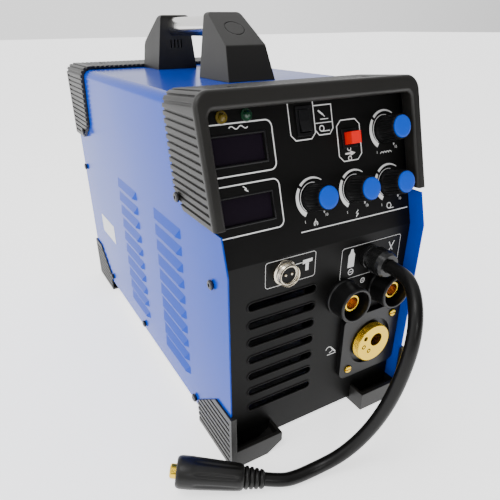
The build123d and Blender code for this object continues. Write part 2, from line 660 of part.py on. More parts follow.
def button_housing():
    frame = slab(UPPER, BUTTON_AT, (BUTTON_W + 5.6, BUTTON_H + 5.6), 0.05, 1.0)
    case = slab(UPPER, BUTTON_AT, (BUTTON_W + 2.8, BUTTON_H + 2.8), -12, 0.1)
    return frame + case - slab(UPPER, BUTTON_AT, (BUTTON_W + 0.8, BUTTON_H + 0.8), -8, 3)


def button_cap():
    cap = slab(UPPER, BUTTON_AT, (BUTTON_W, BUTTON_H), -4.6, BUTTON_OUT)
    return cap


def display_lenses():
    lenses = [slab(UPPER, (WINDOW_X, s), (WINDOW_W - 0.4, WINDOW_H - 0.4), -4.2, -2.2) for s in WINDOWS]
    return Compound(lenses)


def led(at):
    body = turned([(0, -6), (2.5, -6), (2.5, -2.4), (4.9, -2.4), (4.9, -2.1), (3.9, -2.1), (3.9, 0.3),
                   (4.9, 0.3),
                   (4.6, 1.2), (2.9, 1.4), (2.7, 2.6), (1.6, 3.9), (0, 4.3)])
    return UPPER * Pos(at[0], at[1], 0) * body


def control_board():
    board = slab(UPPER, (0, 60), (188, 106), -16.0, -14.0)
    cuts = [slab(UPPER, ROCKER_AT, (15, 25), -20, -10), slab(UPPER, BUTTON_AT, (14, 17), -20, -10)]
    parts = [board]
    for s in WINDOWS:
        parts.append(slab(UPPER, (WINDOW_X, s), (40, 18), -14.2, -5.0))
    for x, s in ((-20, 20), (5, 20), (50, 14)):
        parts.append(slab(UPPER, (x, s), (14, 8), -14.2, -11.5))
    return join(parts) - Compound(cuts)


# ---- sockets, connectors and cable ----------------------------------------------------------------------
def output_sockets():
    """Black housings of the two bayonet current sockets."""
    length = SOCKET_OUT
    profile = [(CONTACT_R, -9.0), (CONTACT_R + 1.8, -9.0), (CONTACT_R + 1.8, 0.1), (SOCKET_R + 0.8, 0.1),
               (SOCKET_R + 0.8, 3.0), (SOCKET_R, 4.0), (SOCKET_R, length - 1.0), (SOCKET_R - 0.9, length),
               (SOCKET_R - 2.2, length), (CUP_R, length - 0.6), (CUP_R, CUP_FLOOR), (CONTACT_R, CUP_FLOOR)]
    return Compound([LOWER * Pos(x, z, 0) * turned(profile) for x, z in SOCKETS])


def socket_contacts():
    top = SOCKET_OUT - 6.7
    ring = CONTACT_R - 0.05
    profile = [(0, -14), (5.0, -14), (5.0, -9.6), (ring, -9.6), (ring, top - 0.8), (ring - 0.8, top),
               (CONTACT_BORE, top),
               (CONTACT_BORE, top - 16), (0, top - 16)]
    return Compound([LOWER * Pos(x, z, 0) * turned(profile) for x, z in SOCKETS])


def trigger_shell():
    """Nickel shell of the round two-pin torch-trigger connector."""
    out = TRIGGER_OUT
    profile = [(6.9, -8), (8.0, -8), (8.0, 0.1), (TRIGGER_R + 1.6, 0.1), (TRIGGER_R + 1.6, 2.4),
               (TRIGGER_R, 3.2),
               (TRIGGER_R, 4.6)]
    for i in range(4):
        base = 4.6 + i * 1.4
        profile += [(TRIGGER_R - 0.5, base + 0.5), (TRIGGER_R, base + 1.1)]
    profile += [(TRIGGER_R - 0.2, out - 0.5), (TRIGGER_R - 0.8, out), (TRIGGER_R - 1.7, out),
                (TRIGGER_R - 1.7, out - 1.2),
                (TRIGGER_R - 2.2, out - 1.4), (TRIGGER_R - 2.2, -1), (6.9, -1)]
    return LOWER * Pos(TRIGGER_AT[0], TRIGGER_AT[1], 0) * turned(profile)


def trigger_insert():
    out = TRIGGER_OUT
    core = disc(LOWER, TRIGGER_AT, TRIGGER_R - 2.3, -0.8, out - 1.8)
    tail = disc(LOWER, TRIGGER_AT, 6.8, -10, -0.7)
    pins = [disc(LOWER, (TRIGGER_AT[0] + side * 3.0, TRIGGER_AT[1] + 0.6), 1.1, out - 1.9,
                 out - 0.9) for side in (-1, 1)]
    return join([core, tail] + pins)


def euro_plate():
    plate = slab(LOWER, EURO_AT, (EURO_PLATE, EURO_PLATE), 0.05, EURO_PLATE_T)
    plate = fillet(plate.edges().filter_by(Axis.Y), 8.0)
    plate = plate - disc(LOWER, EURO_AT, EURO_HOLE_R, -1, EURO_PLATE_T + 1)
    ring = disc(LOWER, EURO_AT, EURO_HOLE_R + 0.1, 0.05, 1.6) - disc(LOWER, EURO_AT, 14.1, -1, 4)
    plate = plate + ring
    for x, z in EURO_SCREWS:
        plate = plate - disc(LOWER, (x, z), 2.1, -1, EURO_PLATE_T + 1)
        plate = plate - disc(LOWER, (x, z), 4.6, EURO_PLATE_T - 1.2, EURO_PLATE_T + 1)
    return plate


def euro_body():
    """Threaded brass torch connector with its wire and gas bore and its pin holes."""
    out = EURO_OUT
    profile = [(0, -42), (9, -42), (9, -3), (14.0, -3), (14.0, 1.8), (EURO_R - 1.5, 1.8), (EURO_R - 1.5, 3.6)]
    for i in range(4):
        base = 3.6 + i * 1.8
        profile += [(EURO_R, base + 0.6), (EURO_R, base + 0.9), (EURO_R - 1.0, base + 1.6)]
    profile += [(EURO_R - 0.2, out - 0.7), (EURO_R - 1.0, out), (0, out)]
    body = LOWER * Pos(EURO_AT[0], EURO_AT[1], 0) * turned(profile)
    x, z = EURO_AT
    body = body - disc(LOWER, (x + 3.0, z + 3.7), 7.3, out - 24, out + 1)
    body = body - disc(LOWER, (x - 11.3, z + 9.0), 2.5, out - 12, out + 1)
    for dx, dz in ((-12.7, -0.5), (-5.3, -7.3)):
        ring = disc(LOWER, (x + dx, z + dz), 2.5, out - 8, out + 1) - disc(LOWER, (x + dx, z + dz), 1.3,
                                                                           out - 9, out + 2)
        body = body - ring
    return body


def euro_screws():
    screws = []
    for x, z in EURO_SCREWS:
        low = EURO_PLATE_T - 1.1
        head = disc(LOWER, (x, z), 4.0, low, low + 3.0)
        head = fillet(head.edges().sort_by(Axis.Y)[0], 1.0)
        slot = slab(LOWER, (x, z), (9, 1.2), low + 1.9, low + 4)
        screws.append(head + disc(LOWER, (x, z), 1.95, -5, low + 0.1) - slot)
    return Compound(screws)


def cable_gland():
    """Screwed gland on the upright panel that the cable leaves by."""
    out = GLAND_OUT
    bore = CABLE_D / 2 + 0.4
    tip = out
    profile = [(bore, -10), (8.0, -10), (8.0, 0.1), (11.5, 0.1), (11.5, 5.0), (10.6, 5.4), (10.6, 9.6),
               (12.6, 10.0),
               (12.6, 20.0), (11.6, 23.6), (10.2, tip), (bore, tip)]
    body = LOWER * Pos(GLAND_AT[0], GLAND_AT[1], 0) * turned(profile)
    flats = []
    for i in range(6):
        flat = Pos(14.8, 0, 2.5) * Box(8, 20, 5.2)
        flats.append(LOWER * Pos(GLAND_AT[0], GLAND_AT[1], 0) * Rot(0, 0, 60 * i) * flat)
    return body - Compound(flats)


def route_radii(points):
    """Largest even bend at each corner of the route."""
    radii = []
    for a, b, c in zip(points, points[1:], points[2:]):
        into, away = Vector(*b) - Vector(*a), Vector(*c) - Vector(*b)
        turn = into.get_angle(away)
        radii.append(0.45 * min(into.length, away.length) / tan(radians(turn / 2)))
    return radii


def polarity_cable():
    radii = route_radii(ROUTE)
    print("cable bend radii:", [round(r, 1) for r in radii])
    path = FilletPolyline(*ROUTE, radius=radii)
    start = Vector(*ROUTE[1]) - Vector(*ROUTE[0])
    section = Plane(origin=ROUTE[0], z_dir=start) * Circle(CABLE_D / 2)
    tube = sweep(section, path=path)
    print("cable length", round(path.length, 1), "volume ratio",
          round(tube.volume / (pi * CABLE_D ** 2 / 4 * path.length), 4))
    return tube


def plug_plane():
    """Frame whose Z runs along the plug, from the cable's end to the pin."""
    end = Vector(*ROUTE[-1])
    return Plane(origin=end, z_dir=end - Vector(*ROUTE[-2]))


def plug_body():
    """Rubber sleeve of the cable plug with its ribbed bend relief."""
    profile = [(0, 0), (PLUG_TAIL_R - 0.8, 0)]
    for i in range(4):
        low = 1.0 + i * 4.4
        radius = PLUG_TAIL_R + i * 0.55
        profile += [(radius, low), (radius, low + 2.6), (radius - 1.5, low + 3.0), (radius - 1.5, low + 4.2)]
    profile += [(10.8, 18.8), (11.9, 21.5), (12.4, 26.0), (PLUG_R - 0.6, PLUG_LEN - 16),
                (PLUG_R, PLUG_LEN - 14),
                (PLUG_R, PLUG_LEN - 3.0), (PLUG_R - 1.4, PLUG_LEN - 0.6), (PLUG_R - 3.0, PLUG_LEN),
                (PIN_R + 0.05, PLUG_LEN),
                (PIN_R + 0.05, PLUG_LEN - 18), (0, PLUG_LEN - 18)]
    return plug_plane() * turned(profile)


def plug_pin():
    profile = [(0, PLUG_LEN - 17.9), (PIN_R, PLUG_LEN - 17.9), (PIN_R, PLUG_LEN + PIN_OUT - 1.2),
               (PIN_R - 1.1, PLUG_LEN + PIN_OUT), (0, PLUG_LEN + PIN_OUT)]
    return plug_plane() * turned(profile)


# ---- inside the case ------------------------------------------------------------------------------------
def fan_frame():
    x, z = FAN_AT
    half = FAN_SIZE / 2
    y = (REAR_Y - 0.3 - FAN_T, REAR_Y - 0.3)
    frame = block((x - half, x + half), y, (z - half, z + half))
    frame = frame - rod("y", FAN_AT, (y[0] - 1, y[1] + 1), half - 3)
    hub = rod("y", FAN_AT, (y[0], y[0] + 3.0), 17)
    arms = [block((x - half + 1, x + half - 1), (y[0], y[0] + 3.0), (z - 2, z + 2)),
            block((x - 2, x + 2), (y[0], y[0] + 3.0), (z - half + 1, z + half - 1))]
    stator = rod("y", FAN_AT, (y[0] + 2.9, y[0] + 14), 3.0)
    return join([frame, hub, stator] + arms)


def fan_rotor():
    x, z = FAN_AT
    y = (REAR_Y - FAN_T + 3.4, REAR_Y - 3.4)
    hub = rod("y", FAN_AT, y, 17) - rod("y", FAN_AT, (y[0] - 1, y[0] + 14), 3.4)
    blades = []
    for i in range(7):
        blade = Pos(33, 0, 0) * Rot(35, 0, 0) * Box(36, 1.8, 21)
        blades.append(Pos(x, (y[0] + y[1]) / 2, z) * Rot(0, 360 / 7 * i, 0) * blade)
    limit = rod("y", FAN_AT, (y[0] + 0.2, y[1] - 0.2), FAN_SIZE / 2 - 4.2)
    return hub.fuse(*[b & limit for b in blades])


def wire_spool():
    profile = [(SPINDLE_R + 0.4, SPOOL_X[0]), (SPOOL_R, SPOOL_X[0]), (SPOOL_R, SPOOL_X[0] + 3),
               (88, SPOOL_X[0] + 3),
               (88, SPOOL_X[1] - 3), (SPOOL_R, SPOOL_X[1] - 3), (SPOOL_R, SPOOL_X[1]),
               (SPINDLE_R + 0.4, SPOOL_X[1])]
    return Pos(0, SPOOL_AT[0], SPOOL_AT[1]) * Rot(0, 90, 0) * turned(profile)


def spool_spindle():
    x0 = DIVIDER_X + 1.7
    profile = [(0, x0 - 5), (8.0, x0 - 5), (8.0, x0), (34, x0), (34, SPOOL_X[0] - 0.6),
               (SPINDLE_R, SPOOL_X[0] - 0.6),
               (SPINDLE_R, SPOOL_X[1] + 0.6), (31, SPOOL_X[1] + 0.6), (29, SPOOL_X[1] + 9),
               (0, SPOOL_X[1] + 9)]
    return Pos(0, SPOOL_AT[0], SPOOL_AT[1]) * Rot(0, 90, 0) * turned(profile)


def roll_heights():
    low = EURO_AT[1] - ROLL_GAP / 2 - ROLL_R
    return low, low + ROLL_GAP + 2 * ROLL_R


def feed_motor():
    low, _ = roll_heights()
    motor = rod("x", (ROLL_Y, low), (-38, 17), 25)
    flange = rod("x", (ROLL_Y, low), (16.5, DIVIDER_X - 0.2), 34)
    neck = rod("x", (ROLL_Y, low), (DIVIDER_X - 0.3, DIVIDER_X + 3), 25)
    gearbox = block((DIVIDER_X + 1.8, ROLL_X[0] - 2.5), (ROLL_Y - 32, ARM_PIVOT[0] + 9), (low - 26, low + 14))
    tower = block((DIVIDER_X + 1.8, ROLL_X[0] - 2.5), (ARM_PIVOT[0] - 7, ARM_PIVOT[0] + 9),
                  (low + 13, ARM_PIVOT[1] - 15))
    shaft = rod("x", (ROLL_Y, low), (ROLL_X[0] - 3, ROLL_X[1] - 2), 4.0)
    pivot = rod("x", ARM_PIVOT, (DIVIDER_X + 10, ROLL_X[1] + 2), 3.5)
    cheek = block((DIVIDER_X + 1.8, DIVIDER_X + 12), (ARM_PIVOT[0] - 9, ARM_PIVOT[0] + 9),
                  (low + 13, ARM_PIVOT[1] + 8))
    return join([motor, flange, neck, gearbox, tower, shaft, pivot, cheek])


def feed_roll(height, shaft_r, groove):
    width = ROLL_X[1] - ROLL_X[0]
    profile = [(shaft_r + 0.3, ROLL_X[0]), (ROLL_R, ROLL_X[0]), (ROLL_R, ROLL_X[0] + width / 2 - 1)]
    if groove:
        profile.append((ROLL_R - 0.8, ROLL_X[0] + width / 2))
    profile += [(ROLL_R, ROLL_X[0] + width / 2 + 1), (ROLL_R, ROLL_X[1]), (0, ROLL_X[1]),
                (0, ROLL_X[1] - 1.4),
                (shaft_r + 0.3, ROLL_X[1] - 1.4)]
    return Pos(0, ROLL_Y, height) * Rot(0, 90, 0) * turned(profile)


def drive_roll():
    return feed_roll(roll_heights()[0], 4.0, True)


def pressure_roll():
    return feed_roll(roll_heights()[1], 4.0, False)


def pressure_arm():
    _, high = roll_heights()
    span = (DIVIDER_X + 13, ROLL_X[0] - 2.5)
    bar = block(span, (ROLL_Y - 28, ARM_PIVOT[0] - 6), (high - 1, high + 12))
    eye = rod("x", ARM_PIVOT, span, 7.5)
    shaft = rod("x", (ROLL_Y, high), (span[1] - 1, ROLL_X[1] - 2), 4.0)
    bulge = rod("x", (ROLL_Y, high), span, 7.0)
    spindle = Pos((span[0] + span[1]) / 2, ROLL_Y - 20, high + 12) * Cylinder(
        7, 22, align=(Align.CENTER, Align.CENTER, Align.MIN))
    return join([bar, eye, shaft, bulge, spindle]) - rod("x", ARM_PIVOT, (0, 100), 3.8)


def power_board():
    board = block((-90, -88), (90, 390), (115, 290))
    parts = [board]
    for y0 in (110, 215):
        base = block((-88.1, -80), (y0, y0 + 90), (215, 285))
        parts.append(base)
        for i in range(9):
            parts.append(block((-80.1, -50), (y0 + 1 + 10.8 * i, y0 + 3.5 + 10.8 * i), (215, 285)))
    for i in range(4):
        parts.append(rod("x", (130 + 42 * i, 170), (-88.1, -50), 15))
    return join(parts)


def transformer():
    core = block((-80, -20), (190, 270), (15.6, 95)) - block((-90, -10), (203, 222), (30, 80))
    core = core - block((-90, -10), (238, 257), (30, 80))
    coil = block((-88, -12), (204, 256), (32, 78)) - block((-81, -19), (222, 238), (20, 90))
    coil = coil - block((-80.2, -19.8), (200, 260), (10, 100))
    return join([core, coil])


def gas_inlet():
    valve = block((GAS_AT[0] - 14, GAS_AT[0] + 14), (REAR_Y - 26, REAR_Y - 3),
                  (GAS_AT[1] - 14, GAS_AT[1] + 14))
    neck = rod("y", GAS_AT, (REAR_Y - 4, REAR_Y + 3), 6.0)
    nut = rod("y", GAS_AT, (REAR_Y + PANEL_T + 0.05, REAR_Y + 7), 9.0)
    barb = Pos(GAS_AT[0], REAR_Y + 6.9, GAS_AT[1]) * Rot(-90, 0, 0) * turned(
        [(2.0, 0), (6.0, 0), (6.0, 4.0), (4.0, 4.6), (4.8, 6.0), (3.6, 9.4), (4.8, 10.8), (3.6, 14.2),
         (4.2, 15.4),
         (3.0, 18.1), (2.0, 18.1)])
    return join([valve, neck, nut, barb])


def mains_gland():
    """Empty strain-relief gland of the mains inlet."""
    profile = [(5.2, -8), (8.0, -8), (8.0, 2.05), (11.5, 2.05), (11.5, 8), (9.6, 8.6), (10.6, 9.4),
               (10.2, 15), (8.6, 17.5),
               (5.2, 17.5)]
    return Pos(MAINS_AT[0], REAR_Y, MAINS_AT[1]) * Rot(-90, 0, 0) * turned(profile)


def power_switch():
    x, z = SWITCH_AT
    bezel = block((x - 14, x + 14), (REAR_Y + PANEL_T + 0.05, REAR_Y + 4.0), (z - 20, z + 20))
    case = block((x - 11.6, x + 11.6), (REAR_Y - 22, REAR_Y + 2.2), (z - 16.6, z + 16.6))
    return bezel + case - block((x - 9, x + 9), (REAR_Y - 8, REAR_Y + 10), (z - 14, z + 14))


def switch_rocker():
    """Mains rocker, tilted so that its upper end stands out."""
    x, z = SWITCH_AT
    outline = Polyline((0, -12.6), (4.6, -12.6), (3.0, 0), (4.6, 12.6), (0, 12.6), (-4.4, 4), (-4.4, -4),
                       close=True)
    body = extrude(Plane.YZ * make_face(outline), 8.5, both=True)
    return Pos(x, REAR_Y + 1.5, z) * Rot(-8, 0, 0) * body


def main():
    os.makedirs("parts", exist_ok=True)
    save("base_tray", base_tray())
    save("front_panel", front_panel())
    save("rear_panel", rear_panel())
    save("case_cover", case_cover())
    save("side_door", side_door())
    save("latch_lower", latch(LATCH_Z[0]))
    save("latch_upper", latch(LATCH_Z[1]))
    save("divider_plate", divider_plate())
    save("front_hood", front_hood())
    save("rear_hood", rear_hood())
    save("foot_front_left", front_foot(-1, True))
    save("foot_front_right", front_foot(1, False))
    save("foot_rear_left", rear_foot(-1))
    save("foot_rear_right", rear_foot(1))
    save("handle_post_front", handle_post_front())
    save("handle_post_rear", handle_post_rear())
    save("handle_tube", handle_tube())
    save("case_screws", case_screws())
    for name, at in KNOBS.items():
        save(f"knob_{name}", knob(at))
        save(f"cap_{name}", knob_cap(at))
    save("potentiometers", potentiometers())
    save("rocker_housing", rocker_housing())
    save("mode_rocker", rocker())
    save("button_housing", button_housing())
    save("wire_button", button_cap())
    save("display_lenses", display_lenses())
    save("led_yellow", led(LEDS["yellow"]))
    save("led_green", led(LEDS["green"]))
    save("control_board", control_board())
    save("output_sockets", output_sockets())
    save("socket_contacts", socket_contacts())
    save("trigger_shell", trigger_shell())
    save("trigger_insert", trigger_insert())
    save("euro_plate", euro_plate())
    save("euro_body", euro_body())
    save("euro_screws", euro_screws())
    save("cable_gland", cable_gland())
    save("polarity_cable", polarity_cable())
    save("plug_body", plug_body())
    save("plug_pin", plug_pin())
    save("fan_frame", fan_frame())
    save("fan_rotor", fan_rotor())
    save("wire_spool", wire_spool())
    save("spool_spindle", spool_spindle())
    save("feed_motor", feed_motor())
    save("drive_roll", drive_roll())
    save("pressure_arm", pressure_arm())
    save("pressure_roll", pressure_roll())
    save("power_board", power_board())
    save("transformer", transformer())
    save("gas_inlet", gas_inlet())
    save("mains_gland", mains_gland())
    save("power_switch", power_switch())
    save("switch_rocker", switch_rocker())


main()
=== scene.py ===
import json
from math import atan, cos, pi, radians, sin

import bmesh
import bpy
from mathutils import Matrix, Vector


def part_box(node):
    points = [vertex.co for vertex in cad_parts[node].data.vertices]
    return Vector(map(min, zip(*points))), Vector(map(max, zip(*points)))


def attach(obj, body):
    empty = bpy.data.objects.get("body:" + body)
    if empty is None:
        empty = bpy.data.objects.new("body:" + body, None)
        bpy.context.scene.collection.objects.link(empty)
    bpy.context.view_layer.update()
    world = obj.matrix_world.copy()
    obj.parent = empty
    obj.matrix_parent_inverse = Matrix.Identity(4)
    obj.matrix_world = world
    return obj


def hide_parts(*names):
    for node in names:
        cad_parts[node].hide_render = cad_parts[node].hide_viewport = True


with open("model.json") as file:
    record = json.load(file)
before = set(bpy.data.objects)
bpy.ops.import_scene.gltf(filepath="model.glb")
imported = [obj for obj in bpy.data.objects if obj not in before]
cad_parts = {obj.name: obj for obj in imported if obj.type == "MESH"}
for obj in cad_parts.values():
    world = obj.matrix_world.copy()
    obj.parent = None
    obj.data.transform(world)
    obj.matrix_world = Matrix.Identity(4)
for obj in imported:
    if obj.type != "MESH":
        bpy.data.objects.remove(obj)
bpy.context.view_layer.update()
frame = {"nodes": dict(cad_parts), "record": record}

# ---- places, from the frame -----------------------------------------------------------------------------
MM = 0.001
LEAN = atan(0.30)                                # backward lean of the upper control panel
CREASE_Z = 0.1955                                # crease between the two panels
PANEL_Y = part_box("front_panel")[0].y             # front face of the upright panel
PRINT_LIFT = 0.07                                # height of the print over the panel, mm
PRINT_LINE = 0.9                                 # usual width of a printed line, mm
SIDE_X = -0.1025                                 # outside face of the left side
LABEL = (330.0, 392.0, 98.0, 124.0)              # sticker: from and to in depth, from and to in height, mm
LABEL_LIFT = 0.00012

# features of the panels, millimetres
WINDOW_X = -68.5                                 # middle of the display windows
WINDOWS = (88.3, 43.2)                           # their distances up the slope
SLOTS = 7                                        # air slots
SLOT_TOP = 156.5                                 # height of the uppermost slot's middle
SLOT_PITCH = 18.2
PINS = {"left": -45.0, "right": -39.0}           # pins of the trigger connector
PIN_Z = 182.1
KNOBS = {"burnback": (-7.0, 42.0), "voltage": (38.0, 42.0), "wire_speed": (78.0, 41.5),
         "inductance": (77.5, 88.0)}

# the cable's route from its gland to its plug, metres
ROUTE = [(0.0525, -0.237, 0.1735), (0.0525, -0.254, 0.1735), (0.047, -0.270, 0.169), (0.036, -0.286, 0.157),
         (0.028, -0.2945, 0.137), (0.0205, -0.2965, 0.1115), (0.0135, -0.295, 0.0845),
         (0.0055, -0.290, 0.0575),
         (-0.006, -0.284, 0.035), (-0.021, -0.2775, 0.0175), (-0.0405, -0.2715, 0.0082),
         (-0.062, -0.2692, 0.0064),
         (-0.0755, -0.2664, 0.0078), (-0.0885, -0.259, 0.0098)]
CABLE_D = 0.012


def upper(x, s, lift=0.0):
    """Point on the leaning panel: x and distance up the slope from the crease, in millimetres."""
    y = PANEL_Y + (s * sin(LEAN) - lift * cos(LEAN)) * MM
    z = CREASE_Z + (s * cos(LEAN) + lift * sin(LEAN)) * MM
    return Vector((x * MM, y, z))


def lower(x, z, lift=0.0):
    """Point on the upright panel: x and height, in millimetres."""
    return Vector((x * MM, PANEL_Y - lift * MM, z * MM))


def centre(node):
    low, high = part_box(node)
    return (low + high) / 2


# ---- camera and light -----------------------------------------------------------------------------------
def camera():
    data = bpy.data.cameras.new("camera")
    data.lens = 33.785
    data.sensor_width = 36
    data.shift_x = 0.0223
    data.shift_y = 0.0498
    data.clip_start = 0.01
    data.clip_end = 50
    obj = bpy.data.objects.new("camera", data)
    obj.location = (-0.2412, -0.4945, 0.3619)
    obj.rotation_euler = (radians(62.034), radians(0.627), radians(-29.254))
    bpy.context.scene.collection.objects.link(obj)
    bpy.context.scene.camera = obj


def area_light(name, place, aim, size, power, colour=(1, 1, 1)):
    data = bpy.data.lights.new(name, "AREA")
    data.shape = "RECTANGLE"
    data.size = size[0]
    data.size_y = size[1]
    data.energy = power
    data.color = colour
    obj = bpy.data.objects.new(name, data)
    obj.location = place
    obj.rotation_euler = (Vector(aim) - Vector(place)).to_track_quat("-Z", "Y").to_euler()
    bpy.context.scene.collection.objects.link(obj)


def studio():
    world = bpy.data.worlds.new("studio")
    bpy.context.scene.world = world
    world.use_nodes = True
    tree = world.node_tree
    background = tree.nodes["Background"]
    place = tree.nodes.new("ShaderNodeTexCoord")
    facing = tree.nodes.new("ShaderNodeVectorMath")
    facing.operation = "DOT_PRODUCT"
    facing.inputs[1].default_value = (-0.45, 0.80, 0.25)
    level = tree.nodes.new("ShaderNodeMapRange")
    level.inputs["From Min"].default_value = -0.75
    level.inputs["From Max"].default_value = 0.45
    fade = tree.nodes.new("ShaderNodeValToRGB")
    fade.color_ramp.elements[0].color = (0.05, 0.05, 0.055, 1)
    fade.color_ramp.elements[1].color = (1.0, 1.0, 1.0, 1)
    tree.links.new(place.outputs["Generated"], facing.inputs[0])
    tree.links.new(facing.outputs["Value"], level.inputs["Value"])
    tree.links.new(level.outputs["Result"], fade.inputs["Fac"])
    tree.links.new(fade.outputs["Color"], background.inputs["Color"])
    background.inputs["Strength"].default_value = 1.5
    area_light("key", (-0.9, -0.5, 2.1), (0, 0.1, 0.2), (0.9, 0.7), 18)
    area_light("side", (-1.9, 0.2, 1.1), (0, 0, 0.15), (1.0, 1.0), 4)
    area_light("front", (-0.5, -1.7, 1.0), (0, -0.2, 0.15), (0.4, 0.3), 5)
    bm = bmesh.new()
    bmesh.ops.create_grid(bm, x_segments=8, y_segments=8, size=20.0)
    paper = surface("floor_paper", (0.95, 0.95, 0.95), 0.8, grain=60, bump=0.02, vary=0.02, glow=1.4)
    floor = mesh_object("studio_floor", bm, [paper])
    floor.location.z = -0.0002


# ---- materials ------------------------------------------------------------------------------------------
def surface(name, colour, rough, metallic=0.0, grain=900.0, bump=0.05, vary=0.12, edge=0.0, wear=0.0,
            coat=0.0,
            stretch=(1, 1, 1), glow=0.0, shine=0.5):
    """Procedural surface: grain and blotches in colour, roughness and relief, rounded and rubbed edges.

    grain is its fineness per metre, edge the rounding of edges in metres, wear how much paler they are,
    shine the specular level."""
    material = bpy.data.materials.new(name)
    material.use_nodes = True
    tree = material.node_tree
    nodes = tree.nodes
    link = tree.links.new
    shader = nodes["Principled BSDF"]
    place = nodes.new("ShaderNodeTexCoord")
    spread = nodes.new("ShaderNodeMapping")
    spread.inputs["Scale"].default_value = stretch
    link(place.outputs["Object"], spread.inputs["Vector"])
    fine = nodes.new("ShaderNodeTexNoise")
    fine.inputs["Scale"].default_value = grain
    fine.inputs["Detail"].default_value = 4
    link(spread.outputs["Vector"], fine.inputs["Vector"])
    broad = nodes.new("ShaderNodeTexNoise")
    broad.inputs["Scale"].default_value = 14
    broad.inputs["Detail"].default_value = 5
    link(place.outputs["Object"], broad.inputs["Vector"])

    tone = nodes.new("ShaderNodeMix")
    tone.data_type = "RGBA"
    tone.inputs["A"].default_value = [c * (1 - vary) for c in colour] + [1]
    tone.inputs["B"].default_value = [min(1, c * (1 + vary) + vary * 0.006) for c in colour] + [1]
    blend = nodes.new("ShaderNodeMath")
    blend.operation = "MULTIPLY_ADD"
    blend.inputs[1].default_value = 0.6
    link(fine.outputs["Fac"], blend.inputs[0])
    scaled = nodes.new("ShaderNodeMath")
    scaled.operation = "MULTIPLY"
    scaled.inputs[1].default_value = 0.4
    link(broad.outputs["Fac"], scaled.inputs[0])
    link(scaled.outputs["Value"], blend.inputs[2])
    link(blend.outputs["Value"], tone.inputs["Factor"])
    colour_out = tone.outputs["Result"]

    rough_map = nodes.new("ShaderNodeMapRange")
    rough_map.inputs["To Min"].default_value = max(0.02, rough * 0.8)
    rough_map.inputs["To Max"].default_value = min(1, rough * 1.25)
    link(broad.outputs["Fac"], rough_map.inputs["Value"])
    link(rough_map.outputs["Result"], shader.inputs["Roughness"])

    relief = nodes.new("ShaderNodeBump")
    relief.inputs["Strength"].default_value = bump
    relief.inputs["Distance"].default_value = 0.0006
    link(fine.outputs["Fac"], relief.inputs["Height"])
    if edge:
        rounded = nodes.new("ShaderNodeBevel")
        rounded.samples = 4
        rounded.inputs["Radius"].default_value = edge
        link(rounded.outputs["Normal"], relief.inputs["Normal"])
        if wear:
            geometry = nodes.new("ShaderNodeNewGeometry")
            alike = nodes.new("ShaderNodeVectorMath")
            alike.operation = "DOT_PRODUCT"
            link(rounded.outputs["Normal"], alike.inputs[0])
            link(geometry.outputs["Normal"], alike.inputs[1])
            rubbed = nodes.new("ShaderNodeMapRange")
            rubbed.inputs["From Min"].default_value = 1.0
            rubbed.inputs["From Max"].default_value = 0.8
            rubbed.inputs["To Max"].default_value = wear
            link(alike.outputs["Value"], rubbed.inputs["Value"])
            worn = nodes.new("ShaderNodeMix")
            worn.data_type = "RGBA"
            worn.inputs["B"].default_value = [min(1, c * 1.5 + 0.03) for c in colour] + [1]
            link(rubbed.outputs["Result"], worn.inputs["Factor"])
            link(colour_out, worn.inputs["A"])
            colour_out = worn.outputs["Result"]
    link(colour_out, shader.inputs["Base Color"])
    link(relief.outputs["Normal"], shader.inputs["Normal"])
    shader.inputs["Metallic"].default_value = metallic
    shader.inputs["Specular IOR Level"].default_value = shine
    shader.inputs["Coat Weight"].default_value = coat
    shader.inputs["Coat Roughness"].default_value = 0.08
    if glow:
        link(colour_out, shader.inputs["Emission Color"])
        shader.inputs["Emission Strength"].default_value = glow
    return material


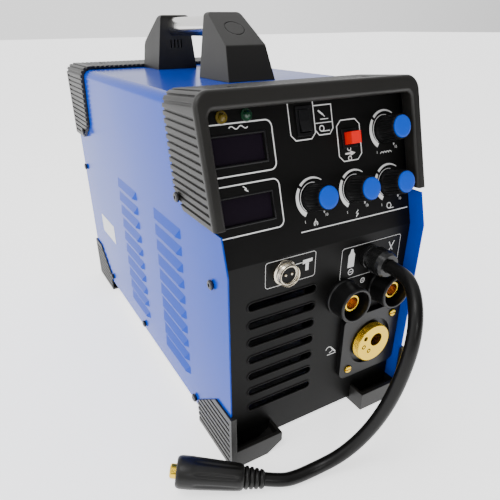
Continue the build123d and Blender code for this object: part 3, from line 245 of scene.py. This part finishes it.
# finish of each material slot of the record
LOOKS = {
    "blue_paint": dict(colour=(0.0002, 0.046, 0.42), rough=0.20, grain=500, bump=0.02, vary=0.05,
                       edge=0.0006, wear=0.2, coat=0.03, shine=0.10),
    "black_sheet": dict(colour=(0.0026, 0.0025, 0.0023), rough=0.42, grain=1500, bump=0.08, edge=0.0004,
                        wear=0.15, shine=0.12),
    "zinc_sheet": dict(colour=(0.55, 0.56, 0.57), rough=0.38, metallic=0.9, grain=90, bump=0.03, vary=0.2,
                       edge=0.0003),
    "hood_plastic": dict(colour=(0.0115, 0.0108, 0.0096), rough=0.38, grain=1300, bump=0.16, edge=0.0012,
                         wear=0.4, shine=0.32),
    "foot_plastic": dict(colour=(0.0105, 0.0100, 0.0090), rough=0.40, grain=1300, bump=0.16, edge=0.0008,
                         wear=0.4, shine=0.3),
    "steel_tube": dict(colour=(0.80, 0.79, 0.77), rough=0.20, metallic=1.0, grain=260, bump=0.03, vary=0.06,
                       stretch=(1, 14, 1), edge=0.0004),
    "screw_steel": dict(colour=(0.035, 0.035, 0.038), rough=0.34, metallic=0.7, grain=700, bump=0.06,
                        edge=0.0003, wear=0.7),
    "knob_black": dict(colour=(0.0028, 0.0028, 0.0030), rough=0.40, grain=1600, bump=0.08, edge=0.0003,
                       wear=0.2, shine=0.15),
    "cap_blue": dict(colour=(0.0005, 0.062, 0.50), rough=0.36, grain=1100, bump=0.05, vary=0.06,
                     edge=0.0003, shine=0.15),
    "pot_metal": dict(colour=(0.55, 0.55, 0.55), rough=0.35, metallic=1.0, grain=300, edge=0.0002),
    "switch_black": dict(colour=(0.005, 0.005, 0.0055), rough=0.26, grain=1200, bump=0.04, edge=0.0004,
                         wear=0.4, shine=0.3),
    # glow=0.04 is painted glow: faint emission that brightens the red push button, which is no lamp
    "button_red": dict(colour=(0.70, 0.006, 0.003), rough=0.30, grain=900, bump=0.03, vary=0.06,
                       edge=0.0005, glow=0.04, shine=0.3),
    "lens_dark": dict(colour=(0.0070, 0.0045, 0.0085), rough=0.30, grain=200, bump=0.01, edge=0.0003,
                      shine=0.08),
    "led_yellow": dict(colour=(0.10, 0.07, 0.005), rough=0.22, grain=700, bump=0.03, coat=0.3, edge=0.0003),
    "led_green": dict(colour=(0.001, 0.028, 0.010), rough=0.22, grain=700, bump=0.03, coat=0.3,
                      edge=0.0003),
    "board_green": dict(colour=(0.01, 0.13, 0.05), rough=0.35, grain=240, bump=0.2, vary=0.3),
    "socket_black": dict(colour=(0.0035, 0.0035, 0.0035), rough=0.34, grain=1200, bump=0.06, edge=0.0005,
                         wear=0.45, shine=0.3),
    "brass": dict(colour=(0.76, 0.50, 0.035), rough=0.24, metallic=1.0, grain=420, bump=0.05, vary=0.12,
                  edge=0.0003, wear=0.3),
    "nickel": dict(colour=(0.66, 0.60, 0.48), rough=0.22, metallic=1.0, grain=420, bump=0.05, edge=0.0003,
                   wear=0.2),
    "insert_black": dict(colour=(0.0030, 0.0030, 0.0030), rough=0.4, grain=1200, bump=0.06, edge=0.0003,
                         shine=0.12),
    "gland_black": dict(colour=(0.005, 0.005, 0.005), rough=0.24, grain=900, bump=0.05, edge=0.0005,
                        wear=0.5, shine=0.35),
    "cable_rubber": dict(colour=(0.0034, 0.0032, 0.0030), rough=0.34, grain=700, bump=0.12, vary=0.25,
                         shine=0.2),
    "plug_rubber": dict(colour=(0.0050, 0.0048, 0.0044), rough=0.38, grain=900, bump=0.14, vary=0.2,
                        edge=0.0004, wear=0.3, shine=0.3),
    "fan_black": dict(colour=(0.014, 0.014, 0.014), rough=0.45, grain=900, bump=0.08, edge=0.0004,
                      wear=0.2),
    "spool_plastic": dict(colour=(0.018, 0.018, 0.020), rough=0.40, grain=800, bump=0.08, edge=0.0005,
                          wear=0.3),
    "feeder_metal": dict(colour=(0.30, 0.31, 0.32), rough=0.42, metallic=0.8, grain=500, bump=0.12,
                         vary=0.2, edge=0.0006, wear=0.4),
    "roll_steel": dict(colour=(0.50, 0.50, 0.51), rough=0.28, metallic=1.0, grain=500, bump=0.05,
                       edge=0.0003),
    "arm_plastic": dict(colour=(0.016, 0.016, 0.018), rough=0.38, grain=1100, bump=0.1, edge=0.0006,
                        wear=0.3),
    "power_parts": dict(colour=(0.33, 0.34, 0.34), rough=0.40, metallic=0.85, grain=400, bump=0.08,
                        vary=0.2, edge=0.0003),
    "iron_core": dict(colour=(0.09, 0.085, 0.08), rough=0.5, metallic=0.6, grain=500, bump=0.15, vary=0.3,
                      stretch=(1, 8, 1), edge=0.0004),
    "latch_black": dict(colour=(0.011, 0.011, 0.012), rough=0.35, grain=1100, bump=0.08, edge=0.0004,
                        wear=0.4),
}


def slot_materials():
    """One finished surface for each of the record's material slots."""
    return {name: surface(name, **look) for name, look in LOOKS.items()}


def dress_frame(finishes):
    """Gives every CAD node the finished surface of its slot."""
    slots = {entry["node"]: entry["material_slot"] for entry in frame["record"]["subparts"]}
    for node, obj in frame["nodes"].items():
        material = finishes[slots[node]]
        if not obj.material_slots:
            obj.data.materials.append(material)
        for entry in obj.material_slots:
            entry.material = material


# ---- mesh helpers ---------------------------------------------------------------------------------------
def mesh_object(name, bm, materials, smooth=0.0, bevel=0.0):
    """Mesh piece; smooth is the angle in degrees under which edges look smooth, bevel a width in metres."""
    bmesh.ops.recalc_face_normals(bm, faces=bm.faces)
    mesh = bpy.data.meshes.new(name)
    for face in bm.faces:
        face.smooth = smooth > 0
    for edge in bm.edges:
        edge.smooth = not (len(edge.link_faces) == 2 and edge.calc_face_angle(0) > radians(smooth))
    bm.to_mesh(mesh)
    bm.free()
    obj = bpy.data.objects.new(name, mesh)
    bpy.context.scene.collection.objects.link(obj)
    for material in materials:
        mesh.materials.append(material)
    if bevel:
        rounding = obj.modifiers.new("rounding", "BEVEL")
        rounding.width = bevel
        rounding.segments = 2
        rounding.limit_method = "ANGLE"
        rounding.angle_limit = radians(35)
    return obj


def turned(name, place, profile, materials, segments=96, flute=None, bevel=0.0, smooth=32):
    """Body of revolution. profile holds (radius, height) in mm; place is the matrix of its axis;
    flute(angle, radius, height) may change the radius."""
    bm = bmesh.new()
    rings = []
    for radius, height in profile:
        if radius == 0:
            rings.append([bm.verts.new(place @ Vector((0, 0, height * MM)))])
            continue
        ring = []
        for i in range(segments):
            angle = 2 * pi * i / segments
            r = flute(angle, radius, height) if flute else radius
            ring.append(bm.verts.new(place @ Vector((r * cos(angle) * MM, r * sin(angle) * MM, height * MM))))
        rings.append(ring)
    for low, high in zip(rings, rings[1:]):
        for i in range(segments):
            j = (i + 1) % segments
            corners = [low[i % len(low)], low[j % len(low)], high[j % len(high)], high[i % len(high)]]
            bm.faces.new(list(dict.fromkeys(corners)))
    return mesh_object(name, bm, materials, smooth, bevel)


def frame_at(origin, along):
    """Matrix whose Z points along a direction, at a point."""
    return Matrix.Translation(origin) @ Vector(along).to_track_quat("Z", "Y").to_matrix().to_4x4()


def arc(x, y, radius, start, end, steps=28):
    """Points on an arc between two angles in degrees."""
    turn = [radians(start + (end - start) * i / steps) for i in range(steps + 1)]
    return [(x + radius * cos(a), y + radius * sin(a)) for a in turn]


def stroke(bm, place, points, width=PRINT_LINE, closed=False):
    """Flat printed line along points on a panel."""
    flat = [Vector(p) for p in points]
    count = len(flat)
    sides = []
    for i, point in enumerate(flat):
        before = flat[i - 1] if closed or i else point
        after = flat[(i + 1) % count] if closed or i < count - 1 else point
        along = (after - before).normalized()
        into = (point - before).normalized() if point != before else along
        stretch = max(0.5, into.dot(along))
        across = Vector((-along.y, along.x)) * (width / 2 / stretch)
        sides.append((bm.verts.new(place(*(point + across), PRINT_LIFT)),
                      bm.verts.new(place(*(point - across), PRINT_LIFT))))
    pairs = list(zip(sides, sides[1:]))
    if closed:
        pairs.append((sides[-1], sides[0]))
    for (a, b), (c, d) in pairs:
        bm.faces.new((a, b, d, c))


def patch(bm, place, points):
    """Flat printed area."""
    bm.faces.new([bm.verts.new(place(x, y, PRINT_LIFT)) for x, y in points])


def numeral(bm, place, text, at, height):
    """Printed dial number."""
    curve = bpy.data.curves.new("numeral", "FONT")
    curve.body = text
    curve.size = height
    curve.align_x = "CENTER"
    holder = bpy.data.objects.new("numeral", curve)
    bpy.context.scene.collection.objects.link(holder)
    bpy.context.view_layer.update()
    mesh = bpy.data.meshes.new_from_object(holder.evaluated_get(bpy.context.evaluated_depsgraph_get()))
    for vertex in mesh.vertices:
        vertex.co = place(at[0] + vertex.co.x, at[1] + vertex.co.y, PRINT_LIFT)
    bm.from_mesh(mesh)
    bpy.data.objects.remove(holder)
    bpy.data.curves.remove(curve)
    bpy.data.meshes.remove(mesh)


def print_object(name, bm, material, body="case"):
    obj = mesh_object(name, bm, [material])
    ink = obj.modifiers.new("ink", "SOLIDIFY")
    ink.thickness = 0.00005
    ink.offset = 0
    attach(obj, body)
    return obj


# ---- cable and plug -------------------------------------------------------------------------------------
def cable(finishes):
    curve = bpy.data.curves.new("cable", "CURVE")
    curve.dimensions = "3D"
    spline = curve.splines.new("NURBS")
    spline.points.add(len(ROUTE) - 1)
    for point, place in zip(spline.points, ROUTE):
        point.co = (*place, 1)
    spline.order_u = 3
    spline.use_endpoint_u = True
    spline.resolution_u = 12
    curve.bevel_depth = CABLE_D / 2
    curve.bevel_resolution = 10
    curve.use_fill_caps = True
    curve.materials.append(finishes["cable_rubber"])
    obj = bpy.data.objects.new("cable", curve)
    bpy.context.scene.collection.objects.link(obj)
    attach(obj, "case")
    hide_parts("polarity_cable")
    return obj


def plug(finishes):
    """Rubber sleeve of the plug: ribbed bend relief, neck and gripped barrel."""
    tail = Vector(ROUTE[-1])
    place = frame_at(tail, tail - Vector(ROUTE[-2]))
    length, radius, pin = 77.0, 13.9, 6.35
    profile = [(6.1, -0.5), (7.2, 0)]
    for i in range(4):
        low, ring = 0.8 + i * 4.4, 8.2 + i * 0.55
        profile += [(ring - 1.5, low - 0.3), (ring - 0.4, low), (ring, low + 0.6), (ring, low + 2.2),
                    (ring - 0.4, low + 2.8),
                    (ring - 1.6, low + 3.0)]
    profile += [(9.4, 18.0), (10.6, 18.8), (11.4, 21.0), (11.9, 26.0), (12.5, 37.0), (13.2, 50.0),
                (13.6, 58.0),
                (13.7, 61.6), (radius, 63.0), (radius, 73.0), (13.2, 75.4), (12.2, 76.6), (11.0, length),
                (10.2, length - 0.4),
                (9.6, length - 2.4), (pin + 0.6, length - 2.4), (pin, length - 3), (pin, length - 6)]

    def grip(angle, r, height):
        """Shallow lengthwise flats on the barrel."""
        depth = 0.9 * min(1, max(0, (height - 22) / 8)) * min(1, max(0, (61 - height) / 3))
        return r - depth * max(0.0, cos(8 * angle)) ** 2

    obj = turned("plug_sleeve", place, profile, [finishes["plug_rubber"]], segments=128, flute=grip,
                 smooth=50)
    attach(obj, "case")
    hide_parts("plug_body")
    return obj


# ---- knobs ----------------------------------------------------------------------------------------------
def knob(name, at, finishes):
    """Fluted knob with a domed blue cap."""
    place = frame_at(upper(*at), upper(*at, 10) - upper(*at))
    skirt = [(4.0, 1.0), (10.6, 0.8), (11.4, 1.0), (11.6, 1.5), (11.5, 2.6), (11.0, 3.3), (10.9, 5),
             (10.7, 12),
             (10.5, 18.6), (10.2, 19.8), (9.7, 20.3), (9.35, 20.2), (9.3, 19.6), (0, 19.6)]

    def flute(angle, radius, height):
        if height < 3.5 or height > 20 or radius < 10:
            return radius
        return radius - 0.55 * max(0.0, cos(20 * angle)) ** 2

    body = turned(f"{name}_knob", place, skirt, [finishes["knob_black"]], segments=160, flute=flute)
    top = [(0, 19.7), (9.1, 19.7), (9.2, 20.0), (9.2, 21.2), (9.0, 21.6), (8.5, 21.85), (6.5, 21.95),
           (3, 22.0), (0, 22.0)]
    cap = turned(f"{name}_cap", place, top, [finishes["cap_blue"]], segments=64)
    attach(body, f"dial_{name}")
    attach(cap, f"dial_{name}")
    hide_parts(f"knob_{name}")
    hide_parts(f"cap_{name}")


# ---- printed markings -----------------------------------------------------------------------------------
def dial_print(bm, at):
    """Crescent scale that swells to one end, with ticks and end numbers."""
    x, s = at
    start, end, steps = 236.0, 52.0, 40
    for i in range(steps):
        a, b = i / steps, (i + 1) / steps
        if abs((a + b) / 2 - 0.52) < 0.02:
            continue
        quad = []
        for share, outside in ((a, True), (b, True), (b, False), (a, False)):
            turn = radians(start + (end - start) * share)
            radius = 17.2 if outside else 17.2 - 0.7 - 3.1 * (1 - share) ** 0.8
            quad.append((x + radius * cos(turn), s + radius * sin(turn)))
        patch(bm, upper, quad)
    stroke(bm, upper, arc(x, s, 12.7, 230, 75), 0.5)
    numeral(bm, upper, "1", (x - 10.5, s - 19.6), 3.4)
    numeral(bm, upper, "10", (x + 12.0, s - 17.2), 3.4)
    patch(bm, upper, [(x + 9.0, s - 12.2), (x + 11.2, s - 12.8), (x + 9.6, s - 14.6)])


def cut_frame(x0, x1, s0, s1, cut):
    """Outline of a rectangle with cut corners."""
    return [(x0 + cut, s0), (x1 - cut, s0), (x1, s0 + cut), (x1, s1 - cut), (x1 - cut, s1), (x0 + cut, s1),
            (x0, s1 - cut),
            (x0, s0 + cut)]


def round_frame(x0, x1, y0, y1, radius):
    corners = [(x1 - radius, y0 + radius, 270), (x1 - radius, y1 - radius, 0), (x0 + radius, y1 - radius, 90),
               (x0 + radius, y0 + radius, 180)]
    points = []
    for x, y, angle in corners:
        points += arc(x, y, radius, angle, angle + 90, 6)
    return points


def upper_print(ink):
    bm = bmesh.new()
    for s0, s1 in ((70.0, 107.6), (24.6, 63.0)):
        corners = arc(-43.5, s0 + 5.5, 5.5, 270, 360, 8) + arc(-43.5, s1 - 5.5, 5.5, 0, 90, 8)
        stroke(bm, upper, [(-96.5, s0)] + corners + [(-96.5, s1)], 1.0)
    stroke(bm, upper, [(-21.3, 117.5), (-21.3, 93.3), (-17.0, 88.8), (-1.4, 88.8), (2.9, 93.3),
                       (2.9, 117.5)], 0.8)
    stroke(bm, upper, [(3.0, 95.0), (6.5, 90.8), (17.5, 90.8), (21.0, 95.0), (21.0, 114.0), (3.0, 114.0)],
           0.8)
    stroke(bm, upper, [(3.0, 100.2), (21.0, 100.2)], 0.6)
    stroke(bm, upper, cut_frame(24.8, 49.4, 66.6, 100.3, 4.6), 0.8, closed=True)
    stroke(bm, upper, [(-22.7, 15.8), (98.6, 15.8)], 0.9)
    for at in KNOBS.values():
        dial_print(bm, at)
    # wire feed sign under the button: an arrow through a roll
    patch(bm, upper, [(31.5, 71.9), (37.0, 71.9), (37.0, 70.4), (42.5, 72.6), (37.0, 74.8), (37.0, 73.3),
                      (31.5, 73.3)])
    stroke(bm, upper, arc(36.0, 76.6, 1.7, 0, 360, 18)[:-1], 0.7, closed=True)
    stroke(bm, upper, arc(36.0, 68.6, 1.7, 0, 360, 18)[:-1], 0.7, closed=True)
    # electrode and wire signs beside the mode switch
    stroke(bm, upper, [(7.5, 110.0), (12.0, 106.5)], 1.3)
    stroke(bm, upper, [(12.0, 106.5), (13.6, 104.8)], 0.6)
    stroke(bm, upper, [(9.0, 103.0), (17.0, 103.0)], 0.7)
    stroke(bm, upper, arc(9.6, 95.8, 2.2, 0, 360, 20)[:-1], 0.7, closed=True)
    stroke(bm, upper, [(9.6, 93.6), (17.5, 93.6)], 0.7)
    # current and voltage signs over the windows
    stroke(bm, upper, [(-75 + i * 0.8, 104.3 + 1.1 * sin(i * 0.62)) for i in range(21)], 0.7)
    stroke(bm, upper, [(-70.5, 61.2), (-67.6, 58.9), (-69.2, 58.9), (-66.4, 56.7)], 0.7)
    # signs under the dials: burn-back flame, voltage bolt, reel, coil
    stroke(bm, upper, arc(-7.0, 20.4, 1.9, -50, 230, 16), 0.7)
    stroke(bm, upper, [(-8.2, 18.9), (-7.0, 24.2), (-5.8, 18.9)], 0.6)
    stroke(bm, upper, [(39.6, 23.6), (37.0, 20.9), (39.2, 20.9), (36.8, 18.0)], 0.8)
    stroke(bm, upper, arc(76.0, 21.2, 2.5, 0, 360, 20)[:-1], 0.7, closed=True)
    stroke(bm, upper, [(76.0, 18.7), (81.5, 18.7)], 0.7)
    for i in range(4):
        stroke(bm, upper, arc(72.6 + i * 3.2, 67.8, 1.6, 180, 0, 10), 0.6)
    return print_object("upper_print", bm, ink)


def lower_print(ink):
    bm = bmesh.new()
    stroke(bm, lower, round_frame(-60.0, -9.5, 169.6, 193.3, 2.6), 0.4, closed=True)
    stroke(bm, lower, round_frame(20.0, 90.8, 155.2, 187.0, 2.6), 0.4, closed=True)
    # torch sign beside the trigger connector
    stroke(bm, lower, [(-30.5, 185.2), (-22.5, 185.2)], 0.6)
    patch(bm, lower, [(-22.8, 183.4), (-12.8, 184.6), (-12.8, 187.4), (-22.8, 187.2)])
    patch(bm, lower, [(-19.8, 183.6), (-16.6, 183.9), (-16.6, 176.8), (-19.8, 176.8)])
    # gas bottle over a pole sign
    bottle = [(28.0, 166.5), (35.4, 166.5), (35.4, 179.0), (33.6, 181.4), (33.0, 184.6), (30.4, 184.6),
              (29.8, 181.4),
              (28.0, 179.0)]
    patch(bm, lower, bottle)
    stroke(bm, lower, arc(32.4, 161.6, 2.8, 0, 360, 24)[:-1], 0.9, closed=True)
    stroke(bm, lower, [(31.0, 161.6), (33.8, 161.6)], 0.8)
    # clamp sign by the gland
    stroke(bm, lower, [(76.6, 181.8), (80.0, 175.6), (83.4, 181.8)], 0.9)
    stroke(bm, lower, [(77.8, 172.6), (80.0, 175.6), (82.2, 172.6)], 0.8)
    # pole sign between the current sockets
    stroke(bm, lower, arc(48.5, 148.6, 2.4, 0, 360, 24)[:-1], 0.9, closed=True)
    stroke(bm, lower, [(47.3, 148.6), (49.7, 148.6)], 0.7)
    # torch sign beside the torch connector
    stroke(bm, lower, arc(15.2, 79.6, 3.6, 170, 20, 12), 0.9)
    stroke(bm, lower, [(18.6, 80.8), (23.6, 75.2)], 1.6)
    stroke(bm, lower, [(13.6, 73.6), (24.6, 73.6)], 0.8)
    stroke(bm, lower, [(16.0, 75.6), (20.0, 77.6)], 0.8)
    return print_object("lower_print", bm, ink)


def side_label(finishes):
    """Blank pale sticker on the left side."""
    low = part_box("case_cover")[0]
    bm = bmesh.new()
    x = SIDE_X - LABEL_LIFT
    outline = round_frame(*LABEL, 1.5)
    points = [Vector((x, low.y + y * MM, z * MM)) for y, z in outline]
    bm.faces.new([bm.verts.new(p) for p in points])
    obj = mesh_object("side_label", bm, [finishes["label"]])
    film = obj.modifiers.new("film", "SOLIDIFY")
    film.thickness = 0.0001
    film.offset = 0
    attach(obj, "case")


# ---- panel details --------------------------------------------------------------------------------------
def window_bezels(finishes):
    """Sloping rims between the panel and the sunk display windows."""
    bm = bmesh.new()
    for s in WINDOWS:
        rings = []
        for half_w, half_s, lift in ((24.2, 12.0, 0.05), (23.6, 11.4, 0.7), (22.9, 10.7, 0.7),
                                     (22.2, 9.9, -2.1),
                                     (24.2, 12.0, -2.1)):
            corners = ((-1, -1), (1, -1), (1, 1), (-1, 1))
            rings.append([bm.verts.new(upper(WINDOW_X + a * half_w, s + b * half_s, lift)) for a,
                          b in corners])
        for low, high in zip(rings, rings[1:] + rings[:1]):
            for i in range(4):
                j = (i + 1) % 4
                bm.faces.new((low[i], low[j], high[j], high[i]))
    obj = mesh_object("window_bezels", bm, [finishes["switch_black"]], bevel=0.00025, smooth=30)
    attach(obj, "case")


def slot_rims(finishes):
    """Soft raised lips round the panel's air slots."""
    bm = bmesh.new()
    for i in range(SLOTS):
        z = SLOT_TOP - SLOT_PITCH * i
        loop = round_frame(-77.0, -6.0, z - 4.5, z + 4.5, 4.4)
        rings = []
        for k, (x, y) in enumerate(loop):
            before, after = loop[k - 1], loop[(k + 1) % len(loop)]
            along = Vector((after[0] - before[0], after[1] - before[1])).normalized()
            out = Vector((along.y, -along.x))
            ring = []
            for m in range(8):
                turn = 2 * pi * m / 8
                shift = out * (0.9 * cos(turn))
                ring.append(bm.verts.new(lower(x + shift.x, y + shift.y, 0.1 + 0.55 * sin(turn))))
            rings.append(ring)
        for low, high in zip(rings, rings[1:] + rings[:1]):
            for m in range(8):
                n = (m + 1) % 8
                bm.faces.new((low[m], low[n], high[n], high[m]))
    obj = mesh_object("slot_rims", bm, [finishes["black_sheet"]], smooth=80)
    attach(obj, "case")


def foot_web(finishes):
    """Sloping web that closes the front left foot along its chamfer."""
    low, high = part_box("foot_front_left")
    outline = [(high.x - 0.0004, 0.0112), (high.x - 0.0175, 0.0004), (high.x - 0.0215, 0.0004),
               (high.x - 0.0004, 0.0136)]
    bm = bmesh.new()
    front = [bm.verts.new((x, low.y + 0.0006, z)) for x, z in outline]
    back = [bm.verts.new((x, PANEL_Y - 0.0003, z)) for x, z in outline]
    bm.faces.new(front)
    bm.faces.new(back)
    for i in range(4):
        j = (i + 1) % 4
        bm.faces.new((front[i], front[j], back[j], back[i]))
    obj = mesh_object("foot_web", bm, [finishes["foot_plastic"]], bevel=0.0003)
    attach(obj, "case")


def trigger_pins(finishes):
    """Bright domed pins standing on the trigger connector's insert."""
    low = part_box("trigger_insert")[0]
    for name, x in PINS.items():
        place = frame_at(Vector((x * MM, low.y + 0.0008, PIN_Z * MM)), (0, -1, 0))
        profile = [(0, -0.4), (1.25, -0.4), (1.25, 0.5), (1.1, 1.0), (0.7, 1.4), (0, 1.5)]
        obj = turned(f"trigger_pin_{name}", place, profile, [finishes["nickel"]], segments=24)
        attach(obj, "case")


def wire_coil(finishes):
    """Copper-coated wire wound on the spool."""
    low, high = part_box("wire_spool")
    middle = centre("wire_spool")
    place = frame_at(Vector((low.x, middle.y, middle.z)), (1, 0, 0))
    width = (high.x - low.x) / MM
    turns = 40
    step = (width - 6.4) / turns
    profile = [(87.8, 3.1)]
    for i in range(turns):
        profile += [(88.25, 3.2 + step * (i + 0.25)), (88.55, 3.2 + step * (i + 0.5)),
                    (88.25, 3.2 + step * (i + 0.75)),
                    (88.0, 3.2 + step * (i + 1))]
    profile += [(87.8, width - 3.1)]
    obj = turned("wire_coil", place, profile + [profile[0]], [finishes["copper"]], segments=120, smooth=60)
    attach(obj, "spool")


# ---- the scene ------------------------------------------------------------------------------------------
def main():
    camera()
    finishes = slot_materials()
    finishes["ink"] = surface("ink", (0.72, 0.72, 0.71), 0.5, grain=1500, bump=0.05, vary=0.05)
    finishes["label"] = surface("label", (0.72, 0.73, 0.74), 0.45, grain=900, bump=0.03, vary=0.04)
    finishes["copper"] = surface("copper", (0.72, 0.33, 0.17), 0.24, 1.0, grain=700, bump=0.05)
    lead = cable(finishes)
    sleeve = plug(finishes)
    dress_frame(finishes)
    for name, at in KNOBS.items():
        knob(name, at, finishes)
    upper_print(finishes["ink"])
    lower_print(finishes["ink"])
    side_label(finishes)
    window_bezels(finishes)
    slot_rims(finishes)
    wire_coil(finishes)
    trigger_pins(finishes)
    foot_web(finishes)
    studio()


main()
